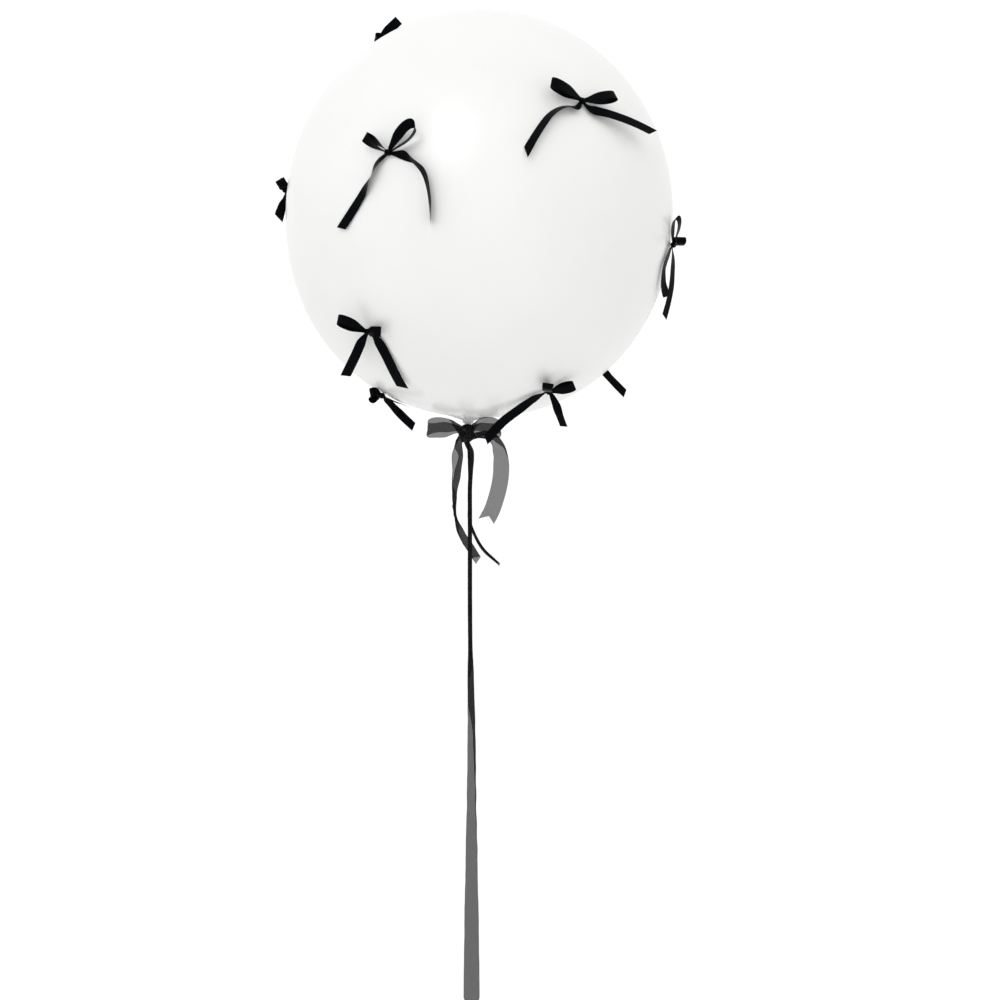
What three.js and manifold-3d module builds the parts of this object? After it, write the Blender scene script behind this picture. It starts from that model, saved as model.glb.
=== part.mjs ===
// A large latex balloon dressed with ribbon. Satin bows are stuck on the balloon with glue dots.
// An organza ribbon is tied round its neck in a bow, and hangs down to a hand loop as the tether.
// Millimetres, +Z up, -Y towards the viewer. The origin is where the ribbon ties the neck.
import * as THREE from "three";
import { mergeVertices } from "three/addons/utils/BufferGeometryUtils.js";
import Module from "manifold-3d";

const wasm = await Module();
wasm.setup();

// Driving dimensions
const BALLOON_RADIUS = 300; // at its widest level
const BASE_LEVEL = 11; // of the underside, above the neck tie
const BASE_DEPTH = 314; // from the widest level to the underside
const CROWN_HEIGHT = 315; // from the widest level to the top
const BASE_FULLNESS = 2.1; // 2 is an ellipse, more is a fuller underside
const BALLOON_LEAN = 3.2; // degrees, towards +X
const WIDEST_LEVEL = BASE_LEVEL + BASE_DEPTH; // above the neck tie
const LATEX_WALL = 0.02;
const THROAT_RADIUS = 9; // where the neck leaves the balloon
const WAIST_RADIUS = 5; // where the ribbon ties the neck
const NECK_LENGTH = 9; // of the twisted neck below the tie
const NECK_KNOT_RADIUS = 7.5;
const NECK_KNOT_HEIGHT = 10;
const LIP_RADIUS = 8; // of the rolled bead round the mouth
const LIP_BEAD = 1.5;
const LIP_LENGTH = 12;
const CLEARANCE = 0.3; // between pieces that touch

const SATIN_WIDTH = 15;
const SATIN_THICKNESS = 0.3;
const SATIN_PINCH = 0.36; // of the width, where a knot gathers the ribbon
const SATIN_KNOT = { length: 5.5, radius: 4.4 };
const GLUE_DOT = { radius: 5, thickness: 1 };

const ORGANZA_WIDTH = 25;
const ORGANZA_THICKNESS = 0.25;
const NECK_BOW_KNOT = { x: -3, y: -18, z: -13, across: 12, deep: 8, tall: 12 };
const HITCH = { radius: 8.4, height: 6.4, top: -1 };
const HAND_LOOP = { level: -912, drop: 78, open: 40, knot: 9 };

const MESH_STEPS = { balloonRound: 44, balloonUp: 22, satinLoop: 14, satinTail: 3, organza: 14, tether: 26 };

const COLOURS = {
  latex: { color: 0xf4f3ef, roughness: 0.35, metalness: 0 },
  satin: { color: 0x0b0c10, roughness: 0.35, metalness: 0 },
  organza: { color: 0x1c1c1f, roughness: 0.6, metalness: 0 },
  glue: { color: 0xe9e7e0, roughness: 0.3, metalness: 0 },
};

const DEGREE = Math.PI / 180;
const ALONG = new THREE.Vector3(1, 0, 0);
const UP = new THREE.Vector3(0, 0, 1);
const VIEWER = new THREE.Vector3(0, -1, 0);
const BALLOON_CENTRE = new THREE.Vector3(0, 0, WIDEST_LEVEL);

// Each satin bow: where its knot sits on the balloon (degrees round from the front towards +X, and up),
// its two loops, and its two tails.
// A loop's aim is an angle in the balloon's surface: 0 is to the right, 90 is up. Its pitch lifts it off.
// Its tilt is 0 where it stands on edge like a ring, and 90 where it lies flat. The twist adds to the tilt
// towards its tip, and the lean turns the ribbon's face, read off evenly along the loop.
// A tail's points are each [right, up, rise off the balloon, turn]. A turn of 0 is flat on the balloon.
// The cuts are how far the tails' ends slant, as a share of the ribbon's width.
const SATIN_BOWS = [
  {
    name: "bow_1",
    at: [-92.5, 56.5],
    loops: [
      { aim: 87, pitch: 12, reach: 46, open: 12, tilt: 12 },
      { aim: 170, pitch: 16, reach: 36, open: 12, tilt: 40 },
    ],
    tails: [
      [[6, -17, 3, 8], [9, -34, 2, 10], [9, -50, 2, 4]],
      [[-12, -16, 4, 10], [-36, -32, 2, 0], [-54, -46, 2, 0]],
    ],
    cuts: [0.5, 0.4],
  },
  {
    name: "bow_2",
    at: [-26, 9.5],
    loops: [
      { aim: 150, pitch: 14, reach: 43, open: 9, tilt: 10, twist: 70 },
      { aim: 40, pitch: 11, reach: 58, open: 20, tilt: 0, lean: [-66, -62, -22, -12] },
    ],
    tails: [
      [[-17, -15, 5, 35], [-25, -35, 4, 55], [-43, -63, 2, 10], [-64, -90, 2, 0], [-86, -116, 4, 0]],
      [[25, -4, 4, 35], [42, -13, 5, 70], [61, -30, 8, 52], [73, -64, 8, 60], [78, -107, 6, 76]],
    ],
    cuts: [-0.6, 0.5],
  },
  {
    name: "bow_3",
    at: [32, 28.5],
    loops: [
      { aim: 166, pitch: 12, reach: 61, open: 13, tilt: 76 },
      { aim: 8, pitch: 14, reach: 55, open: 12, tilt: 80 },
    ],
    tails: [
      [[-12, -13, 5, 30], [-32, -14, 5, 52], [-57, -27, 4, 50], [-86, -59, 3, 45], [-111, -93, 5, 38]],
      [[12, -12, 6, 10], [40, -18, 12, 0], [78, -26, 20, 0], [119, -36, 29, 0]],
    ],
    cuts: [1.1, 1.2],
  },
  {
    name: "bow_4",
    at: [-92, 4.5],
    loops: [
      { aim: 26, pitch: 14, reach: 26, open: 11, tilt: 35 },
      { aim: 152, pitch: 16, reach: 32, open: 12, tilt: 40 },
    ],
    tails: [
      [[5, -15, 5, 20], [8, -30, 8, 55], [11, -46, 12, 84]],
      [[-16, -16, 4, 10], [-22, -30, 2, 0], [-22, -48, 2, 0]],
    ],
    cuts: [-0.7, 0.4],
  },
  {
    name: "bow_5",
    at: [80, -6.5],
    loops: [
      { aim: 126, pitch: 3, reach: 48, open: 10, tilt: 78 },
      { aim: 168, pitch: 26, reach: 34, open: 12, tilt: 15 },
    ],
    tails: [
      [[-17, -15, 4, 6], [-34, -41, 5, 6], [-26, -64, 9, 10], [-10, -80, 17, 16]],
      [[1, -17, 8, 10], [7, -40, 12, 18], [13, -67, 17, 25], [17, -109, 23, 30]],
    ],
    cuts: [0.5, 0.6],
  },
  {
    name: "bow_6",
    at: [-39, -40],
    loops: [
      { aim: 118, pitch: 28, reach: 50, open: 12, tilt: 0 },
      { aim: 11, pitch: 14, reach: 36, open: 11, tilt: 50 },
    ],
    tails: [
      [[-9, -10, 15, 0], [-23, -28, 29, 0], [-44, -51, 45, 0]],
      [[10, -11, 5, -20], [14, -35, 6, -26], [12, -66, 7, -22], [5, -114, 9, -20]],
    ],
    cuts: [-0.7, 0.8],
  },
  {
    name: "bow_7",
    at: [-76, -64.5],
    loops: [
      { aim: 56, pitch: 14, reach: 24, open: 11, tilt: 40 },
      { aim: 158, pitch: 22, reach: 24, open: 11, tilt: 30 },
    ],
    tails: [
      [[-10, -17, 4, 10], [-32, -36, 2, 0], [-50, -48, 3, 0]],
      [[19, -11, 12, 40], [28, -32, 23, 62], [38, -56, 36, 62]],
    ],
    cuts: [0.4, 0.5],
  },
  {
    name: "bow_8",
    at: [46.5, -58.5],
    loops: [
      { aim: 142, pitch: 10, reach: 44, open: 11, tilt: 60 },
      { aim: 62, pitch: 12, reach: 40, open: 10, tilt: 58 },
    ],
    tails: [
      [[-15, -22, 8, 20], [-24, -48, 15, 35], [-29, -79, 24, 35], [-29, -118, 43, 30]],
      [[9, -4, 24, 40], [13, -8, 41, 50], [19, -13, 57, 50]],
    ],
    cuts: [0.8, 0.2],
  },
  {
    name: "bow_9",
    at: [131.5, -38],
    loops: [
      { aim: 100, pitch: 18, reach: 44, open: 15, tilt: 50 },
      { aim: 10, pitch: 20, reach: 40, open: 15, tilt: 60 },
    ],
    tails: [
      [[-17, -9, 26, 30], [-33, -18, 49, 45], [-50, -26, 73, 45]],
      [[11, -18, 4, 15], [34, -42, 3, 0], [50, -68, 3, 0]],
    ],
    cuts: [0.2, 0.5],
  },
  {
    name: "bow_10",
    at: [178, 52],
    loops: [
      { aim: 148, pitch: 20, reach: 50, open: 16, tilt: 55 },
      { aim: 28, pitch: 18, reach: 46, open: 16, tilt: 40 },
    ],
    tails: [
      [[-16, -16, 4, 20], [-30, -42, 2, 0], [-40, -68, 2, 0], [-56, -92, 3, 0]],
      [[14, -17, 4, 15], [28, -46, 2, 0], [42, -76, 3, 0]],
    ],
    cuts: [-0.6, 0.6],
  },
  {
    name: "bow_11",
    at: [141, 8],
    loops: [
      { aim: 138, pitch: 18, reach: 52, open: 18, tilt: 25, lean: [40, 0] },
      { aim: 30, pitch: 20, reach: 44, open: 15, tilt: 62 },
    ],
    tails: [
      [[-20, -14, 4, 20], [-36, -38, 3, 30], [-42, -64, 3, 0], [-54, -88, 3, 0]],
      [[20, -12, 4, 40], [46, -28, 4, 60], [66, -52, 3, 10], [90, -78, 3, 0]],
    ],
    cuts: [-0.5, 0.7],
  },
  {
    name: "bow_12",
    at: [-152, -22],
    loops: [
      { aim: 152, pitch: 20, reach: 48, open: 16, tilt: 64 },
      { aim: 34, pitch: 18, reach: 50, open: 18, tilt: 20, twist: 20 },
    ],
    tails: [
      [[-18, -16, 4, 20], [-34, -42, 3, 0], [-44, -70, 6, 0], [-60, -96, 10, 0]],
      [[16, -15, 4, 15], [30, -42, 3, 0], [42, -70, 5, 0]],
    ],
    cuts: [0.6, -0.5],
  },
];

// The organza ribbon's hanging parts: points along each, then its width and turn read off evenly.
const NECK_BOW_LOOPS = [
  { name: "neck_bow_left_loop", side: -1, reach: 60, open: 20, droop: -2, tilt: 26 },
  { name: "neck_bow_right_loop", side: 1, reach: 53, open: 20, droop: -3, tilt: -26 },
];
const NECK_BOW_LEFT_TAIL = {
  points: [[-14, -8, -28], [-16, -3, -50], [-18, 2, -80], [-21, 5, -112], [-20, 7, -141],
    [-11, 8, -168], [3, 9, -192], [15, 9, -210]],
  widths: [11, 21, 25, 25, 25, 25, 25, 25],
  turns: [24, 46, 56, 72, 84, 52, 50, 58],
};
const NECK_BOW_RIGHT_TAIL = {
  points: [[15, 6, -17], [30, 7, -17], [43, 6, -26], [50, 3, -44], [52, 0, -66],
    [50, -3, -90], [44, -3, -115], [37, -3, -135], [28, -3, -152]],
  widths: [12, 20, 24, 25, 25, 25, 25, 25, 25],
  turns: [6, 8, 10, 8, 4, 0, 0, 0, 0],
};
const TETHER_SHORT_END = {
  points: [[1, -12, -30], [2, -11, -60], [3, -10, -110], [3, -10, -150], [10, -10, -170],
    [23, -10, -193], [45, -10, -214]],
  widths: [4, 4, 4, 4, 4, 4, 4],
  turns: [0, 0, 0, 30, 50, 40, 0],
};
const TETHER = {
  points: [[-3, -18, -27], [1, -18, -34], [5, -18, -43], [6, -18, -54], [5, -18, -72], [3.5, -18, -98],
    [3.5, -18, -140], [3.5, -18, -200], [3.5, -18, -270], [4, -18, -340], [5, -18, -410], [6, -18, -490],
    [6, -18, -580], [6, -18, -680], [6, -18, -780], [6, -18, -850], [6, -18, -902]],
  widths: [7, 9, 9, 8, 7, 7, 7, 7, 7, 7, 10, 12, 15, 19, 22, 23, 10],
  turns: [0, 0, 0, 0, 0, 0, 0, 0, 0, 0, 0, 0, 0, 0, 0, 0, 0],
};

// The value of a list of keys, spread evenly from 0 to 1, at t
function along(keys, t) {
  const place = t * (keys.length - 1);
  const k = Math.min(Math.floor(place), keys.length - 2);
  return THREE.MathUtils.lerp(keys[k], keys[k + 1], THREE.MathUtils.smoothstep(place - k, 0, 1));
}

// How far a point lies out from the balloon's centre, as a share of the way to the surface
function shareOut(point) {
  const [x, y, z] = point.clone().sub(BALLOON_CENTRE).toArray();
  const [height, power] = z > 0 ? [CROWN_HEIGHT, 2] : [BASE_DEPTH, BASE_FULLNESS];
  const sum = (Math.hypot(x, y) / BALLOON_RADIUS) ** power + (Math.abs(z) / height) ** power;
  return sum ** (1 / power);
}

// The point above the balloon's surface, by the given height, that lies outside the given point
function overBalloon(point, height) {
  const out = point.clone().sub(BALLOON_CENTRE);
  return out.clone().divideScalar(shareOut(point)).addScaledVector(out.clone().normalize(), height)
    .add(BALLOON_CENTRE);
}

// Stations along a ribbon: each has its place, the way along, the way across and the way through it.
// A turn of 0 lays the ribbon's face towards its facing.
function stationsOf(points, facings, widths, turns) {
  return points.map((point, i) => {
    const before = points[Math.max(i - 1, 0)];
    const after = points[Math.min(i + 1, points.length - 1)];
    const ahead = after.clone().sub(before).normalize();
    const flat = facings[i].clone().cross(ahead).normalize();
    const across = flat.applyAxisAngle(ahead, turns[i] * DEGREE);
    return { point, ahead, across, through: ahead.clone().cross(across), width: widths[i] };
  });
}

// A thin ribbon solid through its stations; cut is how far its last edge slants
function ribbonGeometry(stations, thickness, cut = 0) {
  const steps = stations.length - 1;
  const box = new THREE.BoxGeometry(1, 1, 1, steps, 1, 1);
  const place = box.attributes.position;
  for (let i = 0; i < place.count; i += 1) {
    const step = Math.round((place.getX(i) + 0.5) * steps);
    const station = stations[step];
    const side = place.getY(i);
    const slant = step === steps ? side * cut : 0;
    const vertex = station.point.clone()
      .addScaledVector(station.across, side * station.width)
      .addScaledVector(station.ahead, slant)
      .addScaledVector(station.through, place.getZ(i) * thickness);
    place.setXYZ(i, ...vertex.toArray());
  }
  matchDiagonals(box);
  return box;
}

// Splits the back face's quads along the same diagonals as the front's, so a twisted ribbon keeps its thickness
function matchDiagonals(box) {
  const back = box.groups[5];
  for (let k = back.start; k < back.start + back.count; k += 6) {
    const [a, b, d, , c] = box.index.array.slice(k, k + 6);
    box.index.array.set([a, b, c, a, c, d], k);
  }
}

function solidOf(geometry) {
  const bare = geometry.clone();
  bare.deleteAttribute("normal");
  bare.deleteAttribute("uv");
  const merged = mergeVertices(bare, 1e-4);
  return new wasm.Manifold(new wasm.Mesh({
    numProp: 3,
    vertProperties: new Float32Array(merged.attributes.position.array),
    triVerts: new Uint32Array(merged.index.array),
  }));
}

function geometryOf(solid) {
  const mesh = solid.getMesh();
  const geometry = new THREE.BufferGeometry();
  geometry.setAttribute("position", new THREE.BufferAttribute(new Float32Array(mesh.vertProperties), 3));
  geometry.setIndex(new THREE.BufferAttribute(new Uint32Array(mesh.triVerts), 1));
  return geometry;
}

// Joins overlapping pieces into one
function joined(...geometries) {
  return geometryOf(geometries.map(solidOf).reduce((whole, piece) => whole.add(piece)));
}

// A ribbon loop that leaves a knot at the origin towards +X and comes back. It opens along Y, and its twist
// turns it about X towards its tip
function loopStations({ reach, open, start, width, pinch, steps, twist = 0, lean = [0, 0] }) {
  const points = [];
  const facings = [];
  const widths = [];
  for (let i = 0; i <= steps; i += 1) {
    const angle = THREE.MathUtils.lerp(start, Math.PI - start, i / steps);
    const turned = twist * Math.sin(angle) ** 2 * DEGREE;
    const place = new THREE.Vector3(reach * Math.sin(angle), (open / 2) * Math.sin(2 * angle), 0);
    points.push(place.applyAxisAngle(ALONG, turned));
    facings.push(UP.clone().applyAxisAngle(ALONG, turned));
    const spread = THREE.MathUtils.smoothstep(Math.sin(angle), 0, 0.55);
    widths.push(width * THREE.MathUtils.lerp(pinch, 1, spread));
  }
  return stationsOf(points, facings, widths, points.map((_, i) => 90 + along(lean, i / steps)));
}

function sphere(across, deep, tall) {
  return new THREE.SphereGeometry(1, 10, 7).rotateX(Math.PI / 2).scale(across, deep, tall);
}

function named(name, geometry, look) {
  const mesh = new THREE.Mesh(geometry, new THREE.MeshStandardMaterial(COLOURS[look]));
  mesh.name = name;
  return mesh;
}

// The inflated skin: one thin shell, open at the throat where the twisted neck plugs it
function balloonEnvelope() {
  const steps = MESH_STEPS.balloonUp;
  const outside = [];
  for (let i = 0; i <= steps; i += 1) {
    const turn = (i / steps) * Math.PI;
    const below = turn < Math.PI / 2;
    const [height, power] = below ? [BASE_DEPTH, BASE_FULLNESS] : [CROWN_HEIGHT, 2];
    const radius = BALLOON_RADIUS * Math.sin(turn) ** (2 / power);
    const level = height * Math.abs(Math.cos(turn)) ** (2 / power);
    outside.push(new THREE.Vector2(radius, WIDEST_LEVEL + (below ? -level : level)));
  }
  outside[0].set(THROAT_RADIUS, WIDEST_LEVEL - BASE_DEPTH - THROAT_RADIUS / 2);
  outside[steps].setX(0);
  const inside = outside.map((point) => {
    const towards = new THREE.Vector2(point.x, point.y - WIDEST_LEVEL);
    const share = 1 - LATEX_WALL / towards.length();
    return new THREE.Vector2(point.x * share, WIDEST_LEVEL + towards.y * share);
  });
  const profile = [...outside, ...inside.reverse(), outside[0].clone()];
  const geometry = new THREE.LatheGeometry(profile, MESH_STEPS.balloonRound).rotateX(Math.PI / 2);
  return named("balloon_envelope", geometry, "latex");
}

// The neck: a solid twisted stem that plugs the throat, and the overhand knot below it
function neckKnot() {
  const stem = THROAT_RADIUS - 2 * CLEARANCE;
  const plugTop = WIDEST_LEVEL - BASE_DEPTH;
  const knotMiddle = -NECK_LENGTH - NECK_KNOT_HEIGHT / 2;
  const profile = [
    [0, knotMiddle - NECK_KNOT_HEIGHT / 2],
    [NECK_KNOT_RADIUS * 0.7, knotMiddle - NECK_KNOT_HEIGHT * 0.4],
    [NECK_KNOT_RADIUS, knotMiddle],
    [NECK_KNOT_RADIUS * 0.75, knotMiddle + NECK_KNOT_HEIGHT * 0.38],
    [WAIST_RADIUS, -NECK_LENGTH],
    [WAIST_RADIUS, 0],
    [stem, plugTop * 0.5],
    [stem, plugTop],
    [0, plugTop],
  ].map(([radius, level]) => new THREE.Vector2(radius, level));
  return named("neck_knot", new THREE.LatheGeometry(profile, 18).rotateX(Math.PI / 2), "latex");
}

// The mouth beyond the knot: a short flared skirt that ends in its rolled bead, pointing back and down
function rolledLip() {
  const root = NECK_KNOT_RADIUS * 0.4;
  const skirt = 0.8;
  const profile = [
    [0, 0],
    [root, 0],
    [LIP_RADIUS * 0.75, LIP_LENGTH * 0.5],
    [LIP_RADIUS - LIP_BEAD, LIP_LENGTH - LIP_BEAD],
    [LIP_RADIUS, LIP_LENGTH - 2 * LIP_BEAD],
    [LIP_RADIUS + LIP_BEAD, LIP_LENGTH - LIP_BEAD],
    [LIP_RADIUS, LIP_LENGTH],
    [LIP_RADIUS - 2 * LIP_BEAD, LIP_LENGTH - LIP_BEAD * 0.6],
    [LIP_RADIUS * 0.75 - skirt, LIP_LENGTH * 0.5],
    [0, skirt],
  ].map(([radius, level]) => new THREE.Vector2(radius, level));
  const lip = named("rolled_lip", new THREE.LatheGeometry(profile, 18).rotateX(Math.PI / 2), "latex");
  lip.position.set(0, NECK_KNOT_RADIUS + CLEARANCE, -NECK_LENGTH - NECK_KNOT_HEIGHT / 2);
  lip.rotation.x = -115 * DEGREE;
  return lip;
}

// A group whose origin is the bow's knot: X to the right, Y up along the balloon, Z out of it
function bowSeat([around, up]) {
  const level = Math.cos(up * DEGREE);
  const aim = new THREE.Vector3(
    level * Math.sin(around * DEGREE),
    -level * Math.cos(around * DEGREE),
    Math.sin(up * DEGREE),
  );
  const height = GLUE_DOT.thickness + 2 * CLEARANCE + SATIN_KNOT.radius;
  const seat = new THREE.Group();
  seat.position.copy(overBalloon(aim.clone().add(BALLOON_CENTRE), height));
  const right = UP.clone().cross(aim).normalize();
  seat.quaternion.setFromRotationMatrix(new THREE.Matrix4().makeBasis(right, aim.clone().cross(right), aim));
  seat.updateMatrix();
  return seat;
}

// The knot and both loops, one length of ribbon. A loop points along its aim and is pitched off the balloon
function bowLoops(bow) {
  const start = 0.08;
  const loops = bow.loops.map((loop) => {
    const stations = loopStations({ ...loop, start, width: SATIN_WIDTH, pinch: SATIN_PINCH, steps: MESH_STEPS.satinLoop });
    return ribbonGeometry(stations, SATIN_THICKNESS)
      .rotateX(loop.tilt * DEGREE)
      .rotateY(-loop.pitch * DEGREE)
      .rotateZ(loop.aim * DEGREE);
  });
  const knot = sphere(SATIN_KNOT.length, SATIN_KNOT.radius, SATIN_KNOT.radius);
  return named(bow.name + "_loops", joined(knot, ...loops), "satin");
}

// A tail leaves the knot and runs through its points over the balloon. It is built in a group whose X points
// along its start and whose Z points off the balloon, so its hinge is the group's Y axis.
function bowTail(bow, tail, cut, seat, label) {
  const heading = Math.atan2(tail[0][1], tail[0][0]);
  const toHinge = seat.matrix.clone().multiply(new THREE.Matrix4().makeRotationZ(heading)).invert();
  const exit = SATIN_KNOT.length + 2 * CLEARANCE;
  const start = [exit * Math.cos(heading), exit * Math.sin(heading), SATIN_THICKNESS + SATIN_KNOT.radius, 0];
  const keys = [start, ...tail];
  const path = new THREE.CatmullRomCurve3(keys.map(([right, up, rise]) => new THREE.Vector3(right, up, rise)));
  const steps = tail.length * MESH_STEPS.satinTail;
  const [points, facings, widths, turns] = [[], [], [], []];
  for (let i = 0; i <= steps; i += 1) {
    const turn = along(keys.map((key) => key[3]), i / steps);
    const { x, y, z } = path.getPoint(i / steps);
    const spread = THREE.MathUtils.smoothstep(Math.hypot(x, y, z), SATIN_KNOT.length, 26);
    const width = SATIN_WIDTH * THREE.MathUtils.lerp(SATIN_PINCH, 1, spread);
    const lowest = SATIN_THICKNESS + CLEARANCE + (width / 2) * Math.abs(Math.sin(turn * DEGREE));
    const point = overBalloon(new THREE.Vector3(x, y, 0).applyMatrix4(seat.matrix), Math.max(z, lowest));
    facings.push(point.clone().sub(BALLOON_CENTRE).normalize().transformDirection(toHinge));
    points.push(point.applyMatrix4(toHinge));
    widths.push(width);
    turns.push(turn);
  }
  const geometry = ribbonGeometry(stationsOf(points, facings, widths, turns), SATIN_THICKNESS, SATIN_WIDTH * cut);
  const hinge = new THREE.Group();
  hinge.rotation.z = heading;
  hinge.add(named(bow.name + label, geometry, "satin"));
  return hinge;
}

function glueDot(bow) {
  const disc = new THREE.CylinderGeometry(GLUE_DOT.radius, GLUE_DOT.radius, GLUE_DOT.thickness, 12);
  const dot = named(bow.name + "_glue_dot", disc.rotateX(Math.PI / 2), "glue");
  dot.position.z = -SATIN_KNOT.radius - CLEARANCE - GLUE_DOT.thickness / 2;
  return dot;
}

function satinBow(bow) {
  const seat = bowSeat(bow.at);
  seat.add(bowLoops(bow), glueDot(bow));
  seat.add(bowTail(bow, bow.tails[0], bow.cuts[0], seat, "_left_tail"));
  seat.add(bowTail(bow, bow.tails[1], bow.cuts[1], seat, "_right_tail"));
  return seat;
}

// The turn of organza round the neck, gathered to a cord
function neckHitch() {
  const inner = WAIST_RADIUS + CLEARANCE;
  const middle = HITCH.top - HITCH.height / 2;
  const half = HITCH.height / 2;
  const profile = [
    [inner, middle - half * 0.7],
    [inner, middle + half * 0.7],
    [inner + 0.8, middle + half],
    [HITCH.radius - 0.8, middle + half],
    [HITCH.radius, middle + half * 0.5],
    [HITCH.radius, middle - half * 0.5],
    [HITCH.radius - 0.8, middle - half],
    [inner + 0.8, middle - half],
    [inner, middle - half * 0.7],
  ].map(([radius, level]) => new THREE.Vector2(radius, level));
  return named("neck_hitch", new THREE.LatheGeometry(profile.reverse(), 18).rotateX(Math.PI / 2), "organza");
}

function neckBowKnot() {
  const { across, deep, tall } = NECK_BOW_KNOT;
  return named("neck_bow_knot", sphere(across, deep, tall), "organza");
}

function neckBowLoop({ name, side, reach, open, droop, tilt }) {
  const start = Math.asin((NECK_BOW_KNOT.across + 2 * CLEARANCE) / reach);
  const stations = loopStations({ reach, open, start, width: ORGANZA_WIDTH, pinch: 0.5, steps: MESH_STEPS.organza });
  const geometry = ribbonGeometry(stations, ORGANZA_THICKNESS);
  if (side < 0) geometry.rotateZ(Math.PI);
  geometry.rotateX(tilt * DEGREE).rotateY(side * droop * DEGREE);
  return named(name, geometry, "organza");
}

// A hanging length of organza: a smooth curve through its points, facing the viewer
function hangingRibbon(name, { points, widths, turns }, steps, thickness) {
  const curve = new THREE.CatmullRomCurve3(points.map((point) => new THREE.Vector3(...point)), false, "centripetal");
  const shares = Array.from({ length: steps + 1 }, (_, i) => i / steps);
  const stations = stationsOf(
    shares.map((t) => curve.getPoint(t)),
    shares.map(() => VIEWER),
    shares.map((t) => along(widths, t)),
    shares.map((t) => along(turns, t)),
  );
  return named(name, ribbonGeometry(stations, thickness), "organza");
}

// The loop for a hand or a hook at the tether's lower end, and the knot that closes it
function handLoop() {
  const { level, drop, open, knot } = HAND_LOOP;
  const stations = loopStations({ reach: drop, open, start: 0.07, width: ORGANZA_WIDTH, pinch: 0.4, steps: 15 });
  const loop = ribbonGeometry(stations, ORGANZA_THICKNESS).rotateX(Math.PI / 2).rotateY(Math.PI / 2);
  const mesh = named("hand_loop", joined(sphere(knot, knot * 0.8, knot), loop), "organza");
  mesh.position.set(TETHER.points.at(-1)[0], TETHER.points.at(-1)[1], level);
  return mesh;
}

function dressedBalloon() {
  const balloon = new THREE.Group();
  balloon.rotation.y = BALLOON_LEAN * DEGREE;
  balloon.add(balloonEnvelope(), ...SATIN_BOWS.map(satinBow));
  return balloon;
}

function neckBow() {
  const bow = new THREE.Group();
  bow.position.set(NECK_BOW_KNOT.x, NECK_BOW_KNOT.y, NECK_BOW_KNOT.z);
  bow.add(neckBowKnot(), ...NECK_BOW_LOOPS.map(neckBowLoop));
  return bow;
}

const part = new THREE.Group();
part.add(dressedBalloon(), neckKnot(), rolledLip(), neckHitch(), neckBow());
part.add(
  hangingRibbon("neck_bow_left_tail", NECK_BOW_LEFT_TAIL, MESH_STEPS.organza, ORGANZA_THICKNESS),
  hangingRibbon("neck_bow_right_tail", NECK_BOW_RIGHT_TAIL, MESH_STEPS.organza, ORGANZA_THICKNESS),
  hangingRibbon("tether_short_end", TETHER_SHORT_END, MESH_STEPS.organza, 4 * ORGANZA_THICKNESS),
  hangingRibbon("tether_ribbon", TETHER, MESH_STEPS.tether, 4 * ORGANZA_THICKNESS),
  handLoop(),
);

export default part;
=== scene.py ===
"""A large white latex balloon dressed with small black satin bows, a sheer organza bow at its neck, and a
long organza tether. Lengths in the design values are millimetres in the part's own frame."""
import math

import bpy
import numpy as np
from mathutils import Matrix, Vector, noise


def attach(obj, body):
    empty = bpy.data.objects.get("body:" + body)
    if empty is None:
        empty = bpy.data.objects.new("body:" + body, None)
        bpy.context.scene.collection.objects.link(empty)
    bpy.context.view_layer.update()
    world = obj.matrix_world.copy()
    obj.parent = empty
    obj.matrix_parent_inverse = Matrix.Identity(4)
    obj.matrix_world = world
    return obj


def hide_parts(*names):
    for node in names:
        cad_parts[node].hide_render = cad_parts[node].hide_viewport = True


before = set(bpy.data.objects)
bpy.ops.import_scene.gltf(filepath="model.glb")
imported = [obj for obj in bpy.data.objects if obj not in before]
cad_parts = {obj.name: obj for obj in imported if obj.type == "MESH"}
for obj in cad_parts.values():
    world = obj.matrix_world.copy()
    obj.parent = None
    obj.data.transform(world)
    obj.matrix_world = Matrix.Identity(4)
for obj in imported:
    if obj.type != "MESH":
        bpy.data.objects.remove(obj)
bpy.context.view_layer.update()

MM = 0.001
UP = np.array([0.0, 0.0, 1.0])
VIEWER = np.array([0.0, -1.0, 0.0])

# The camera, in metres; it is built before the cords
CAMERA_PLACE = (0.050, -3.670, -0.118)
CAMERA_LENS = 85
CAMERA_SENSOR = 36
CAMERA_REACH = 200

# The studio, in metres and watts
FLOOR_LEVEL = -1.12
FLOOR_REACH = 40.0
ROOM_BRIGHTNESS = 1.08
KEY_PLACE = (-1.1, -3.2, 2.6)
KEY_TARGET = (0, 0, 0.35)
KEY_SIZE = 2.2
KEY_POWER = 36
KEY_COLOUR = (0.93, 0.97, 1.0)

# The balloon, as in the part's source
BALLOON_RADIUS = 300
WIDEST_LEVEL = 325
CROWN_HEIGHT = 315
BASE_DEPTH = 314
BASE_FULLNESS = 2.1
BALLOON_LEAN = math.radians(3.2)
BALLOON_CENTRE = np.array([0.0, 0.0, WIDEST_LEVEL])
NECK_KNOT_LEVEL = -14

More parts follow.
